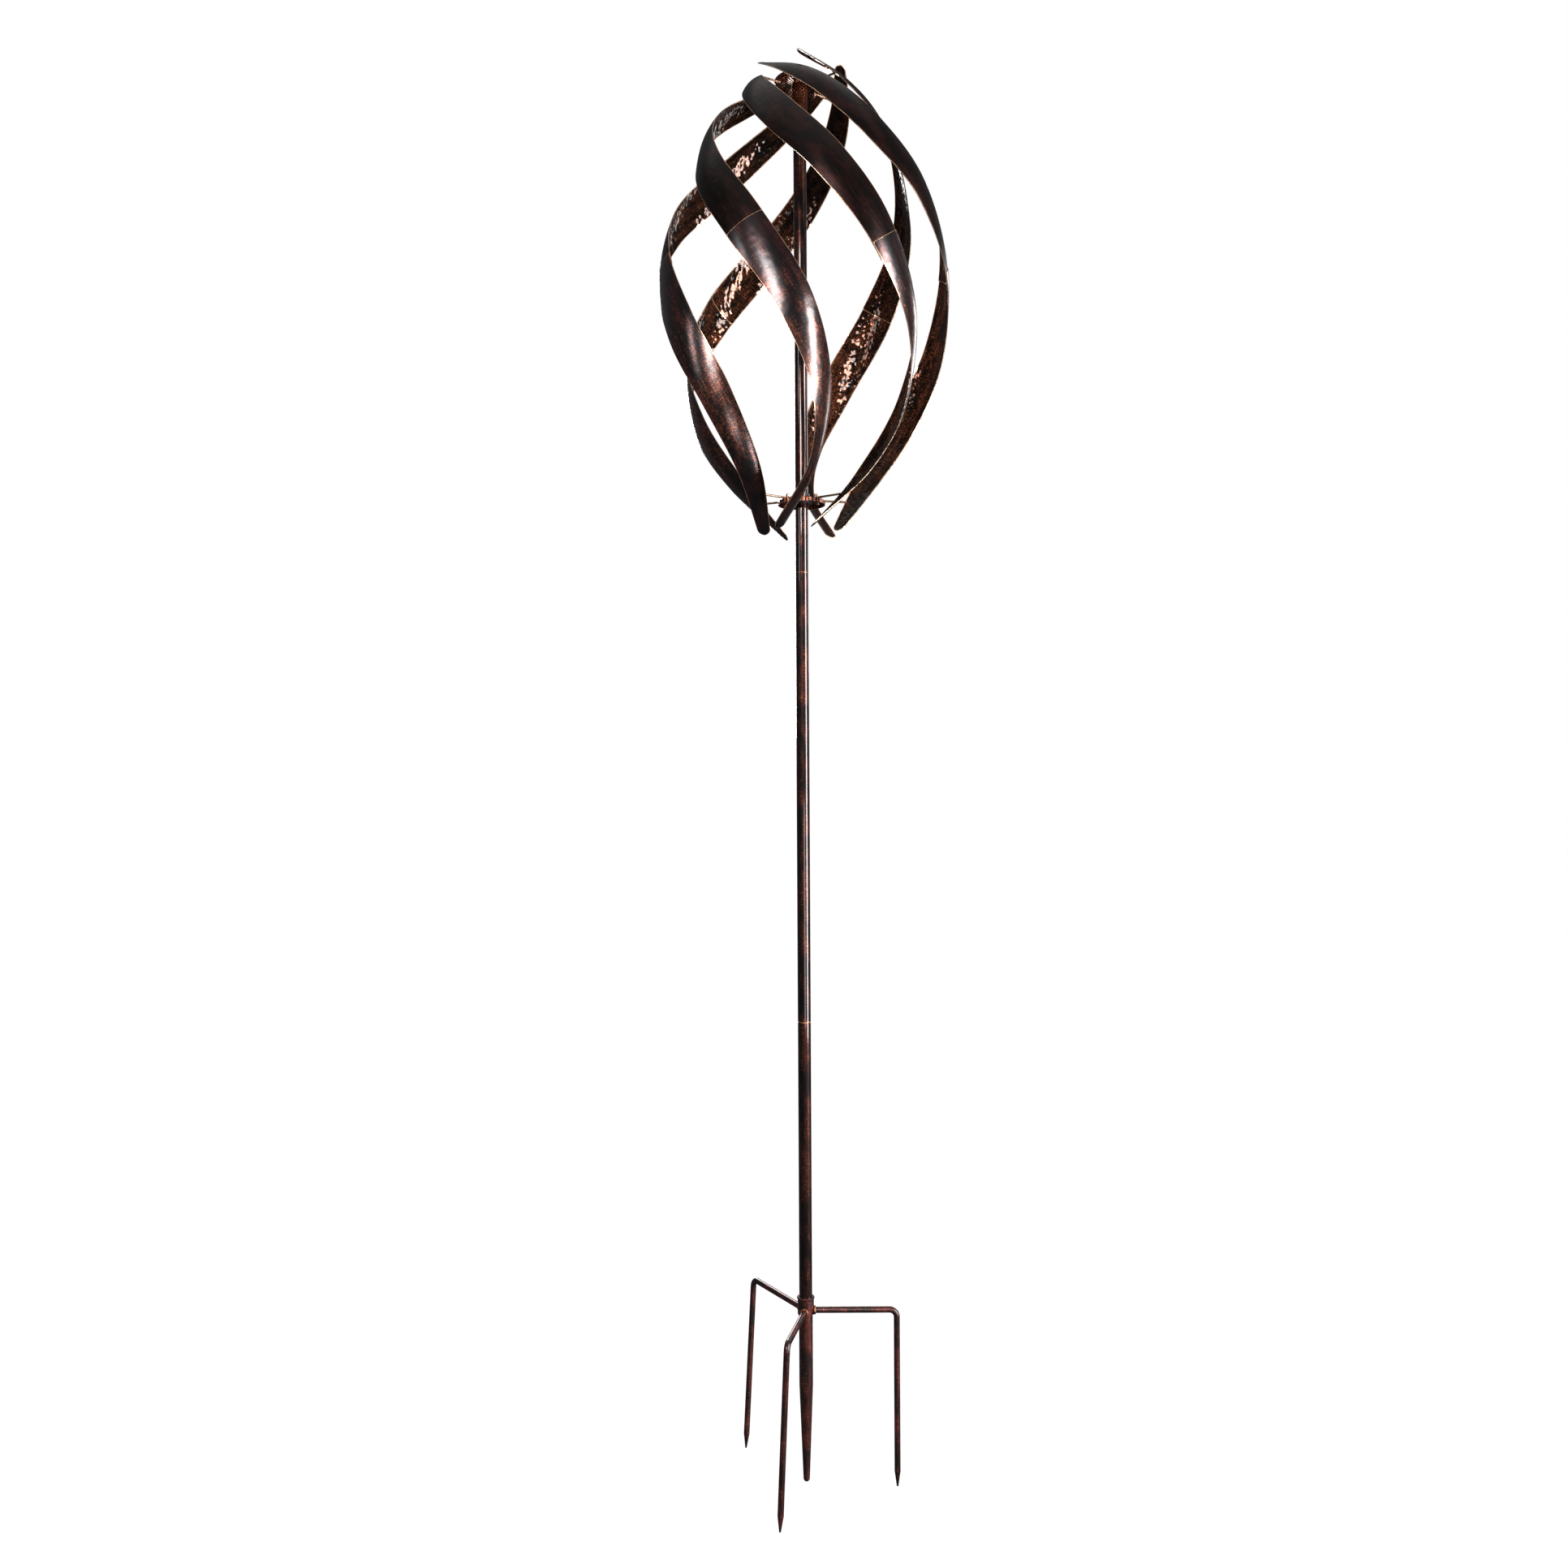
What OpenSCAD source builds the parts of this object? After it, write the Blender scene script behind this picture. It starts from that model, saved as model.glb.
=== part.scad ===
// Kinetic helix wind spinner: a rotor of six twisted, two-piece metal blades that turns on top of a
// plug-together tube pole, which stands in a stake with a centre spike and three prongs.
// Millimetres, +Z up. The origin is on the pole's axis at ground level, where the centre spike
// leaves the stake's collar.

/* [Pole] */
// Outer diameter of the pole's tubes
pole_d = 16; // [14:0.5:20]
// Wall of the pole's tubes
pole_wall = 1.2; // [1:0.1:1.6]
// Length of the lower tube that shows above the collar
lower_pole_len = 338; // [200:1:500]
// Length of the middle tube that shows
middle_pole_len = 553; // [300:1:700]
// Length of the upper tube that shows
upper_pole_len = 583; // [540:1:760]
// Length of the necked end that each tube pushes into the next
neck_len = 45; // [25:1:80]
// Bevel on each side of the line where two tubes meet
seam_bevel = 0.5; // [0.2:0.1:0.8]

/* [Stake] */
// Height of the collar that the pole stands in
collar_h = 22; // [16:1:40]
// Wall of the collar
collar_wall = 1.8; // [1.2:0.1:3]
// How far the rolled rim stands out from the collar
rim_bulge = 0.8; // [0.3:0.1:1.5]
// Diameter of the centre spike
spike_d = 17; // [14:0.5:22]
// Length of the spike's straight part below ground level
spike_straight = 86; // [40:1:150]
// Length of the spike's tapered part
spike_taper = 120; // [60:1:200]
// Diameter of the spike's rounded end
spike_end_d = 8; // [4:0.5:12]
// Diameter of the rod that the prongs are bent from
prong_d = 7.5; // [6:0.5:10]
// Distance of a prong's leg from the pole's axis
prong_reach = 112; // [60:1:160]
// Depth of the prongs' points below ground level
prong_depth = 213; // [120:1:300]
// Radius of the prongs' bend, along the rod's middle
prong_bend = 9; // [7:1:30]
// Length of the prongs' points
prong_point = 19; // [10:1:30]

/* [Hubs] */
// Diameter of the upper hub's disc
upper_hub_d = 62; // [54:1:80]
// Diameter of the lower hub's disc
lower_hub_d = 58; // [54:1:80]
// Thickness of both discs
hub_sheet = 1.5; // [1:0.1:2.5]
// Depth of the discs' turned-over rim
hub_rim = 4; // [2:0.5:5]
// Length of the sleeve that covers the top of the pole
sleeve_len = 36; // [28:1:60]
// Wall of that sleeve
sleeve_wall = 1.5; // [1:0.1:2.5]
// Diameter of the flange under the lower hub
bush_flange_d = 24; // [22:0.5:30]
// Thickness of that flange
bush_flange_t = 2.5; // [1.5:0.5:5]
// Wall of the lower bush
bush_wall = 2; // [1.5:0.1:3]
// Height of the bush above the lower disc
bush_top = 8; // [4:1:16]
// Diameter of the pivot pin
pivot_d = 6; // [5:0.5:8]
// Diameter of the wire arms
arm_d = 2.5; // [2:0.1:4]
// Diameter of the screws that hold the arms
screw_d = 3; // [2:0.5:4]

/* [Blades] */
// Height of a blade's tip above its seam
upper_half_h = 253; // [180:1:320]
// Depth of a blade's tip below its seam
lower_half_h = 315; // [220:1:400]
// Distance of the seams from the pole's axis
seam_r = 172; // [130:1:220]
// Distance of the lower tips from the pole's axis
lower_tip_r = 47; // [44:1:60]
// Distance of the upper tips from the pole's axis
upper_tip_r = 52; // [48:1:64]
// Width of a blade at its seam
blade_w = 48; // [32:1:60]
// Width of a blade at its lower tip
lower_tip_w = 15; // [10:1:20]
// Width of a blade at its upper tip
upper_tip_w = 12; // [10:1:20]
// Thickness of the blades' sheet
blade_t = 0.9; // [0.8:0.1:1.5]
// Outward bulge across a blade at its seam
blade_bulge = 5; // [2:0.5:8]
// How far the two halves of a blade overlap at the seam, as a share of one station's spacing
blade_lap = 0.2; // [0.1:0.05:0.4]

/* [Hidden] */
$fn = 64;

// Clearances
socket_play = 0.25;     // pole in the collar, radius
neck_play = 0.1;        // necked end in the next tube, radius
running_play = 0.06;    // bearing surfaces, radius
sleeve_play = 0.4;      // sleeve round the pole, radius
pivot_gap = 0.3;        // over the pivot pin's tip
lap_gap = 0.05;         // between the two halves of a blade at their lap
screw_play = 0.1;       // screws in their holes, radius

// Pole
pole_r = pole_d / 2;
tube_bore_r = pole_r - pole_wall;
neck_r = tube_bore_r - neck_play;
neck_taper = 3;

// Heights of the stand
socket_floor = 6;
seam_1_z = collar_h + lower_pole_len;
seam_2_z = seam_1_z + middle_pole_len;
pole_top_z = seam_2_z + upper_pole_len;

// Stake
collar_bore_r = pole_r + socket_play;
collar_r = collar_bore_r + collar_wall;
rim_h = 3;
spike_r = spike_d / 2;
spike_end_r = spike_end_d / 2;
prong_r = prong_d / 2;
prong_z = prong_r + 1.25;
prong_tip_r = 1.2;
// Azimuth of each prong, how far its reach is off the nominal one, and how far its leg leans
// sideways. The prongs are bent and welded by hand.
prongs = [
    [0, 0, 0],
    [123, 10, 3.5],
    [257, -8, -2.5],
];

// Top pivot
plug_len = 20;
plug_flange = 2;
pivot_r = pivot_d / 2;
pivot_out = 9;
pivot_in = 14;
pivot_top_z = pole_top_z + plug_flange + pivot_out;
cup_roof = 4.7;
cup_skirt = 6.5;
cup_top_z = pivot_top_z + pivot_gap + cup_roof;
sleeve_bore_r = pole_r + sleeve_play;
sleeve_r = sleeve_bore_r + sleeve_wall;

// Screws, nuts and eyelets
screw_r = screw_d / 2;
screw_hole_r = screw_r + screw_play;
head_r = screw_d;
head_t = 0.7 * screw_d;
nut_r = screw_d;
nut_t = 0.8 * screw_d;
screw_tail = 1.5;
eyelet_wall = 2;
eyelet_r = screw_hole_r + eyelet_wall;
eyelet_inset = 8;
upper_eyelet_ring = upper_hub_d / 2 - eyelet_inset;
lower_eyelet_ring = lower_hub_d / 2 - eyelet_inset;
arm_bite = 2;

// Blade stations, from a tip to the seam. Each is the share of the half's height, the share of the
// way out from the tip's radius to the seam's, the swing round the axis in degrees, the share of
// the way from the tip's width to the seam's, and the lean of the strip in degrees.
lower_stations = [
    [1, 0, -18, 0, -87],
    [0.79, 0.30, 30, 0.40, -64],
    [0.55, 0.70, 31, 0.70, -40],
    [0.28, 0.95, 19, 0.92, -18],
];
seam_station = [0, 1, 0, 1, -10];
upper_stations = [
    [0.29, 0.89, -19, 0.92, -4],
    [0.53, 0.64, -39, 0.84, -4],
    [0.73, 0.38, -61, 0.68, -13],
    [0.88, 0.12, -90, 0.45, -35],
    [1, 0, -147, 0, -86],
];

// Blade numbers run from 1. The blades are bent, soldered and set by hand, so each has its own
// angle off even spacing, its own bow as a share of the nominal one, and its seam moved along it
// by its own share of one station's spacing.
blade_numbers = [1:6];
blade_spacing = 60;
first_blade_angle = 248;
blade_offsets = [0, -8, -17, -15, 1, 2];
blade_bows = [1, 1, 1.015, 1, 1, 0.972];
seam_offsets = [0, -0.12, 0, 0.2, 0.3, 0];
function blade_angle(n) = first_blade_angle + blade_spacing * (n - 1) + blade_offsets[n - 1];

// A knot is [x, y, z, width, lean] with x outwards at the seam's azimuth and z from the seam.
function mix(a, b, f) = a + (b - a) * f;
function knot(s, tip_r, tip_w, height) =
    let (r = mix(tip_r, seam_r, s[1]))
    [r * cos(s[2]), r * sin(s[2]), s[0] * height, mix(tip_w, blade_w, s[3]), s[4]];
knots = concat(
    [for (s = lower_stations) knot(s, lower_tip_r, lower_tip_w, -lower_half_h)],
    [knot(seam_station, seam_r, blade_w, 0)],
    [for (s = upper_stations) knot(s, upper_tip_r, upper_tip_w, upper_half_h)]
);
last_knot = len(knots) - 1;
seam_u = len(lower_stations);

// Smooth curve through the knots. Whole numbers of u are the knots themselves.
function slope(k) =
    k == 0 ? knots[1] - knots[0] :
    k == last_knot ? knots[last_knot] - knots[last_knot - 1] :
    (knots[k + 1] - knots[k - 1]) / 2;
function blade_at(u) =
    let (k = min(floor(u), last_knot - 1), f = u - k)
    (2 * pow(f, 3) - 3 * f * f + 1) * knots[k]
    + (pow(f, 3) - 2 * f * f + f) * slope(k)
    + (3 * f * f - 2 * pow(f, 3)) * knots[k + 1]
    + (pow(f, 3) - f * f) * slope(k + 1);
function xyz(v) = [v[0], v[1], v[2]];
function bowed(p, bow) = [p[0] * bow, p[1] * bow, p[2]];
function unit(v) = v / norm(v);
function tangent(u) =
    let (step = 0.02)
    unit(xyz(blade_at(min(u + step, last_knot))) - xyz(blade_at(max(u - step, 0))));

// Directions across the strip and out of it at u, leaned about the strip's own line.
function outward(u) =
    let (p = blade_at(u), t = tangent(u), out = unit([p[0], p[1], 0]))
    unit(out - (out * t) * t);
function across(u) =
    let (n = outward(u), w = cross(tangent(u), n), lean = blade_at(u)[4])
    w * cos(lean) + n * sin(lean);
function facing(u) =
    let (n = outward(u), w = cross(tangent(u), n), lean = blade_at(u)[4])
    n * cos(lean) - w * sin(lean);

// Width of the strip, rounded off at the two tips.
bottom_rate = norm(xyz(slope(0)));
top_rate = norm(xyz(slope(last_knot)));
function tip_share(distance, radius) =
    distance >= radius ? 1 : max(0.3, sqrt(1 - pow(1 - distance / radius, 2)));
function width_at(u) =
    blade_at(u)[3]
    * tip_share(u * bottom_rate, lower_tip_w / 2)
    * tip_share((last_knot - u) * top_rate, upper_tip_w / 2);
function bulge_at(u, x) =
    let (w = width_at(u))
    blade_bulge * w / blade_w * (1 - pow(2 * x / w, 2));

// One ring of points round the strip's section at u. The outer face is depth out from the middle.
strip_columns = 6;
function strip_ring(u, depth, bow) =
    let (c = bowed(blade_at(u), bow), a = across(u), n = facing(u), w = width_at(u))
    [for (side = [0, 1]) for (i = [0:strip_columns])
        let (j = side == 0 ? i : strip_columns - i, x = w * (j / strip_columns - 0.5))
        c + a * x + n * (bulge_at(u, x) + depth - side * blade_t)];

// Places along the curve where the strip has a ring.
tip_steps = [0, 0.06, 0.2, 0.45, 0.8];
strip_rings = 20;
function seam_at(n) = seam_u + seam_offsets[n - 1];
bottom_end_u = lower_tip_w / 2 / bottom_rate;
top_end_u = last_knot - upper_tip_w / 2 / top_rate;
function lower_places(n) = concat(
    [for (s = tip_steps) s * bottom_end_u],
    [for (i = [0:strip_rings]) mix(bottom_end_u, seam_at(n) - blade_lap, i / strip_rings)],
    [seam_at(n)]
);
function upper_places(n) = concat(
    [seam_at(n) - blade_lap],
    [for (i = [0:strip_rings]) mix(seam_at(n), top_end_u, i / strip_rings)],
    [for (i = [len(tip_steps) - 1:-1:0]) last_knot - tip_steps[i] * (last_knot - top_end_u)]
);

// Hub heights and arm ends follow from where the arms meet the blades.
upper_arm_u = 8.2;
lower_arm_u = 0.6;
function arm_end(u, bow = 1) =
    bowed(blade_at(u), bow) + across(u) * (width_at(u) / 2 - arm_bite);
upper_arm_z = cup_top_z - arm_d / 2;
seam_z = upper_arm_z - arm_end(upper_arm_u)[2];
lower_arm_z = seam_z + arm_end(lower_arm_u)[2];
lower_face_z = lower_arm_z - arm_d / 2;
lower_disc_z = lower_face_z - hub_sheet;

steel_brown = [0.24, 0.14, 0.11];
dark_bronze = [0.2, 0.16, 0.15];
copper = [0.5, 0.25, 0.17];
hub_copper = [0.4, 0.2, 0.14];
bright_steel = [0.7, 0.7, 0.72];
brass_yellow = [0.75, 0.6, 0.32];
bush_black = [0.1, 0.1, 0.1];

// Solid centre spike: a stub welded into the collar, a straight part and a tapered, rounded end.
module ground_spike() {
    taper_z = -spike_straight - spike_taper;
    end_z = taper_z + spike_end_r;
    arc = [for (a = [0:15:90]) [spike_end_r * sin(a), end_z - spike_end_r * cos(a)]];
    color(steel_brown)
        rotate_extrude()
            polygon(concat(
                arc,
                [[spike_r, -spike_straight], [spike_r, 0], [collar_bore_r, 0]],
                [[collar_bore_r, socket_floor], [0, socket_floor]]
            ));
}

// Short socket tube with a rolled rim.
module stake_collar() {
    rim_r = collar_r + rim_bulge;
    color(steel_brown)
        rotate_extrude()
            polygon([
                [collar_bore_r, 0],
                [collar_r - 0.6, 0],
                [collar_r, 0.6],
                [collar_r, collar_h - rim_h],
                [rim_r, collar_h - rim_h * 0.6],
                [rim_r, collar_h - rim_h * 0.25],
                [rim_r - 0.6, collar_h],
                [collar_bore_r + 0.4, collar_h],
                [collar_bore_r, collar_h - 0.4],
            ]);
}

// One bent rod: a flat arm welded to the collar, a tight bend, a long leg and a pointed end.
module prong(setting) {
    reach = prong_reach + setting[1];
    point_z = -prong_depth + prong_point - prong_z;
    tip_z = -prong_depth + prong_tip_r - prong_z;
    color(steel_brown)
        difference() {
            rotate([0, 0, setting[0]])
                translate([0, 0, prong_z])
                    rotate([setting[2], 0, 0]) {
                        rotate([0, 90, 0])
                            cylinder(r = prong_r, h = reach - prong_bend);
                        translate([reach - prong_bend, 0, -prong_bend])
                            rotate([90, 0, 0])
                                rotate_extrude(angle = 90)
                                    translate([prong_bend, 0])
                                        circle(r = prong_r);
                        translate([reach, 0, point_z])
                            cylinder(r = prong_r, h = -prong_bend - point_z);
                        translate([reach, 0, tip_z])
                            cylinder(r1 = prong_tip_r, r2 = prong_r, h = prong_point - prong_tip_r);
                        translate([reach, 0, tip_z])
                            sphere(r = prong_tip_r);
                    }
            translate([0, 0, -prong_d])
                cylinder(r = collar_r, h = prong_z + 2 * prong_d);
        }
}

// A tube of the pole from z0 to z1, with a necked end above z1 that the next tube slides over.
module necked_tube(z0, z1) {
    neck_bore_r = neck_r - pole_wall;
    color(steel_brown)
        rotate_extrude()
            polygon([
                [tube_bore_r, z0],
                [pole_r - seam_bevel, z0],
                [pole_r, z0 + seam_bevel],
                [pole_r, z1 - seam_bevel],
                [pole_r - seam_bevel, z1],
                [neck_r, z1],
                [neck_r, z1 + neck_len - 1],
                [neck_r - 0.5, z1 + neck_len],
                [neck_bore_r, z1 + neck_len],
                [neck_bore_r, z1 - pole_wall],
                [tube_bore_r, z1 - pole_wall - neck_taper],
            ]);
}

module lower_pole() {
    necked_tube(socket_floor, seam_1_z);
}

module middle_pole() {
    necked_tube(seam_1_z, seam_2_z);
}

// The top tube is plain at its upper end, where the plug closes it.
module upper_pole() {
    color(steel_brown)
        rotate_extrude()
            polygon([
                [tube_bore_r, seam_2_z],
                [pole_r - seam_bevel, seam_2_z],
                [pole_r, seam_2_z + seam_bevel],
                [pole_r, pole_top_z],
                [tube_bore_r, pole_top_z],
            ]);
}

// Turned plug pressed into the top tube, bored for the pivot pin.
module pole_plug() {
    color(bright_steel)
        difference() {
            union() {
                translate([0, 0, pole_top_z - plug_len])
                    cylinder(r = tube_bore_r, h = plug_len);
                translate([0, 0, pole_top_z])
                    cylinder(r = pole_r, h = plug_flange);
            }
            translate([0, 0, pole_top_z + plug_flange - pivot_in])
                cylinder(r = pivot_r, h = pivot_in + 1);
        }
}

// Hard pin with a domed tip, pressed into the plug. The rotor hangs on its tip.
module pivot_pin() {
    dome_z = pivot_top_z - pivot_r;
    arc = [for (a = [0:15:90]) [pivot_r * cos(a), dome_z + pivot_r * sin(a)]];
    bottom_z = pole_top_z + plug_flange - pivot_in;
    color(bright_steel)
        rotate_extrude()
            polygon(concat([[0, bottom_z], [pivot_r, bottom_z]], arc));
}

// Round sheet disc drilled for the arms' screws. The arms lie on its face at z = 0, and its rim
// is turned over away from them.
module hub_disc(d, bore_r, ring_r, arm_u) {
    r = d / 2;
    difference() {
        rotate_extrude()
            polygon([
                [bore_r, 0],
                [bore_r, -hub_sheet],
                [r - hub_sheet - 1, -hub_sheet],
                [r - hub_sheet, -hub_sheet - 1],
                [r - hub_sheet, -hub_sheet - hub_rim],
                [r, -hub_sheet - hub_rim],
                [r, -1],
                [r - 1, 0],
            ]);
        at_arms(ring_r, arm_u)
            translate([0, 0, -hub_sheet - 1])
                cylinder(r = screw_hole_r, h = hub_sheet + 2);
    }
}

// The side of the lower hub that its arms lie on faces up. The upper hub's faces down.
module on_lower_hub() {
    translate([0, 0, lower_face_z])
        children();
}

module on_upper_hub() {
    translate([0, 0, cup_top_z])
        mirror([0, 0, 1])
            children();
}

// Puts its child where each arm's eyelet is, turned so that +X runs along the arm.
module at_arms(ring_r, arm_u) {
    for (n = blade_numbers)
        rotate([0, 0, arm_angle(n, arm_u)])
            translate([ring_r, 0, 0])
                children();
}

function arm_angle(n, u) =
    let (p = arm_end(u, blade_bows[n - 1]))
    blade_angle(n) + atan2(p[1], p[0]);

// Upper disc with the sleeve that covers the top of the pole. Its arms lie under the disc.
module upper_hub() {
    color(hub_copper) {
        on_upper_hub()
            hub_disc(upper_hub_d, 0, upper_eyelet_ring, upper_arm_u);
        translate([0, 0, cup_top_z - sleeve_len])
            difference() {
                cylinder(r = sleeve_r, h = sleeve_len);
                translate([0, 0, -1])
                    cylinder(r = sleeve_bore_r, h = sleeve_len + 1);
            }
    }
}

// Cup pressed into the top of the sleeve, running on the pivot pin.
module bearing_cup() {
    bottom_z = pivot_top_z - cup_skirt;
    color(brass_yellow)
        difference() {
            translate([0, 0, bottom_z])
                cylinder(r = sleeve_bore_r, h = cup_top_z - bottom_z);
            translate([0, 0, bottom_z - 1])
                cylinder(r = pivot_r + running_play, h = cup_skirt + pivot_gap + 1);
        }
}

// Lower disc round the pole. Its arms lie on top.
module lower_hub() {
    color(hub_copper)
        on_lower_hub()
            hub_disc(
                lower_hub_d, pole_r + running_play + bush_wall, lower_eyelet_ring, lower_arm_u
            );
}

// Flanged bush pressed into the lower disc from below, running on the pole.
module lower_bush() {
    bore_r = pole_r + running_play;
    color(bush_black)
        difference() {
            union() {
                translate([0, 0, lower_disc_z - bush_flange_t])
                    cylinder(r = bush_flange_d / 2, h = bush_flange_t);
                translate([0, 0, lower_disc_z])
                    cylinder(r = bore_r + bush_wall, h = hub_sheet + bush_top);
            }
            translate([0, 0, lower_disc_z - bush_flange_t - 1])
                cylinder(r = bore_r, h = bush_flange_t + hub_sheet + bush_top + 2);
        }
}

// A closed strip through the given places, its outer face depth out from the middle surface.
module blade_strip(places, depth, bow) {
    count = 2 * (strip_columns + 1);
    rings = len(places);
    points = [for (u = places) each strip_ring(u, depth, bow)];
    sides = [for (i = [0:rings - 2]) for (j = [0:count - 1])
        let (
            a = i * count + j,
            b = i * count + (j + 1) % count,
            c = b + count,
            d = a + count
        )
        each [[a, d, b], [b, d, c]]];
    first_cap = [for (j = [0:count - 1]) j];
    last_cap = [for (j = [count - 1:-1:0]) (rings - 1) * count + j];
    translate([0, 0, seam_z])
        polyhedron(points, concat(sides, [first_cap], [last_cap]));
}

// Upper strip of a blade. It lies inside the lower strip at the seam.
module blade_upper(n) {
    color(dark_bronze)
        rotate([0, 0, blade_angle(n)])
            blade_strip(upper_places(n), -lap_gap, blade_bows[n - 1]);
}

// Lower strip of a blade. Its top edge shows as the seam.
module blade_lower(n) {
    color(copper)
        rotate([0, 0, blade_angle(n)])
            blade_strip(lower_places(n), blade_t, blade_bows[n - 1]);
}

// A straight wire arm from an eyelet on the hub to the edge of the blade.
module arm(n, u, z, ring_r) {
    p = arm_end(u, blade_bows[n - 1]);
    reach = norm([p[0], p[1]]);
    color(hub_copper)
        rotate([0, 0, arm_angle(n, u)])
            translate([ring_r, 0, z])
                difference() {
                    union() {
                        translate([0, 0, -arm_d / 2])
                            cylinder(r = eyelet_r, h = arm_d);
                        rotate([0, 90, 0])
                            cylinder(r = arm_d / 2, h = reach - ring_r);
                    }
                    translate([0, 0, -arm_d])
                        cylinder(r = screw_hole_r, h = 2 * arm_d);
                }
}

module arm_upper(n) {
    arm(n, upper_arm_u, upper_arm_z, upper_eyelet_ring);
}

module arm_lower(n) {
    arm(n, lower_arm_u, lower_arm_z, lower_eyelet_ring);
}

// A round-headed screw through the disc and an eyelet, and its nut on the eyelet.
module screw() {
    shank = hub_sheet + arm_d + nut_t + screw_tail;
    color(bright_steel)
        translate([0, 0, -hub_sheet]) {
            cylinder(r = screw_r, h = shank);
            translate([0, 0, -head_t])
                cylinder(r1 = 0.7 * head_r, r2 = head_r, h = head_t);
        }
}

module nut() {
    color(bright_steel)
        translate([0, 0, arm_d])
            difference() {
                cylinder(r = nut_r, h = nut_t, $fn = 6);
                translate([0, 0, -1])
                    cylinder(r = screw_r, h = nut_t + 2);
            }
}

module upper_screws() {
    on_upper_hub()
        at_arms(upper_eyelet_ring, upper_arm_u)
            screw();
}

module upper_nuts() {
    on_upper_hub()
        at_arms(upper_eyelet_ring, upper_arm_u)
            nut();
}

module lower_screws() {
    on_lower_hub()
        at_arms(lower_eyelet_ring, lower_arm_u)
            screw();
}

module lower_nuts() {
    on_lower_hub()
        at_arms(lower_eyelet_ring, lower_arm_u)
            nut();
}

ground_spike();
stake_collar();
for (n = [1:len(prongs)])
    prong(prongs[n - 1]);
lower_pole();
middle_pole();
upper_pole();
pole_plug();
pivot_pin();
upper_hub();
bearing_cup();
lower_hub();
lower_bush();
for (n = blade_numbers) {
    blade_upper(n);
    blade_lower(n);
    arm_upper(n);
    arm_lower(n);
}
upper_screws();
upper_nuts();
lower_screws();
lower_nuts();
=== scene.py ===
import math

import bmesh
import bpy
import numpy as np
from mathutils import Matrix, Vector, noise


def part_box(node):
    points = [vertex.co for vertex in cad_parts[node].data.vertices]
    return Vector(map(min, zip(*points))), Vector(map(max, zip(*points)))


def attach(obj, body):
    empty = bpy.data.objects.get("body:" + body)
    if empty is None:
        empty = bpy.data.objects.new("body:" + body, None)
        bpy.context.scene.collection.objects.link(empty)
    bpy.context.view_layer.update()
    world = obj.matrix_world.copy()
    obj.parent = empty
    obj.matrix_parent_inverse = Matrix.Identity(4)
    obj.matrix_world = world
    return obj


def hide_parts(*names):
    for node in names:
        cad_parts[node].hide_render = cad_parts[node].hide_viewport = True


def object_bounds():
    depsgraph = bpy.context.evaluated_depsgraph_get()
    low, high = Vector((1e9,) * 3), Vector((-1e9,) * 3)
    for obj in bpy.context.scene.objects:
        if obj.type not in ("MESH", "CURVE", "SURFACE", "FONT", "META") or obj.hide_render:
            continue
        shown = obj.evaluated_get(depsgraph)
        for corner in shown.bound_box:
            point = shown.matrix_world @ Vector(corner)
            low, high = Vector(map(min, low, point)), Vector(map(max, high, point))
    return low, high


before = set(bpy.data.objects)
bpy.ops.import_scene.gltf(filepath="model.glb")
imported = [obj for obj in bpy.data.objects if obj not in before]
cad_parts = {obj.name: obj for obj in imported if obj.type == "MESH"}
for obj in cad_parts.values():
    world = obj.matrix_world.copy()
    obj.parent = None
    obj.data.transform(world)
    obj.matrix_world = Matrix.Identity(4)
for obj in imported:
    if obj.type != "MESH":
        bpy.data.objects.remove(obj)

cad_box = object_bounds()

# ---------------------------------------------------------------------------------------------
# Camera: level, in front of the spinner at a little under half its height, and turned a third of
# a degree about its own line of sight.
# ---------------------------------------------------------------------------------------------
lens_mm = 30.19
camera_place = (-0.0235, -1.62, 0.653)
camera_roll = 0.3

camera_data = bpy.data.cameras.new("camera")
camera_data.sensor_width = 36
camera_data.lens = lens_mm
camera = bpy.data.objects.new("camera", camera_data)
camera.location = camera_place
camera.rotation_euler = (math.radians(90), math.radians(camera_roll), 0)
bpy.context.scene.collection.objects.link(camera)
bpy.context.scene.camera = camera

# ---------------------------------------------------------------------------------------------
# Studio: a plain pale floor under the prongs' points, a plain white surround, and soft lights. The
# surround is white where it is seen and a dim grey where the lacquer mirrors it.
# ---------------------------------------------------------------------------------------------
bpy.context.scene.view_settings.view_transform = "Standard"
floor_gap = 0.001
floor_z = cad_box[0].z - floor_gap
floor_radius = 60.0
paper_glow = 1.06
glow_share = 0.94
white = (1.0, 1.0, 1.0, 1.0)
room_grey = (0.085, 0.085, 0.09, 1.0)


def feed(socket, value):
    """Sets a shader input to a value, or wires it to another node's output."""
    if isinstance(value, bpy.types.NodeSocket):
        socket.id_data.links.new(value, socket)
    else:
        socket.default_value = value


def add_node(material, kind, settings=None, **inputs):
    """One shader node in a material, world or group, with its settings and its inputs. An input
    is a value, or an output of another node that is wired to it."""
    tree = material if isinstance(material, bpy.types.NodeTree) else material.node_tree
    made = tree.nodes.new("ShaderNode" + kind)
    for name, value in (settings or {}).items():
        setattr(made, name, value)
    for name, value in inputs.items():
        found = [s for s in made.inputs if s.identifier == name or s.name == name.replace("_", " ")]
        feed(next(s for s in found if s.enabled), value)
    return made


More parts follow.
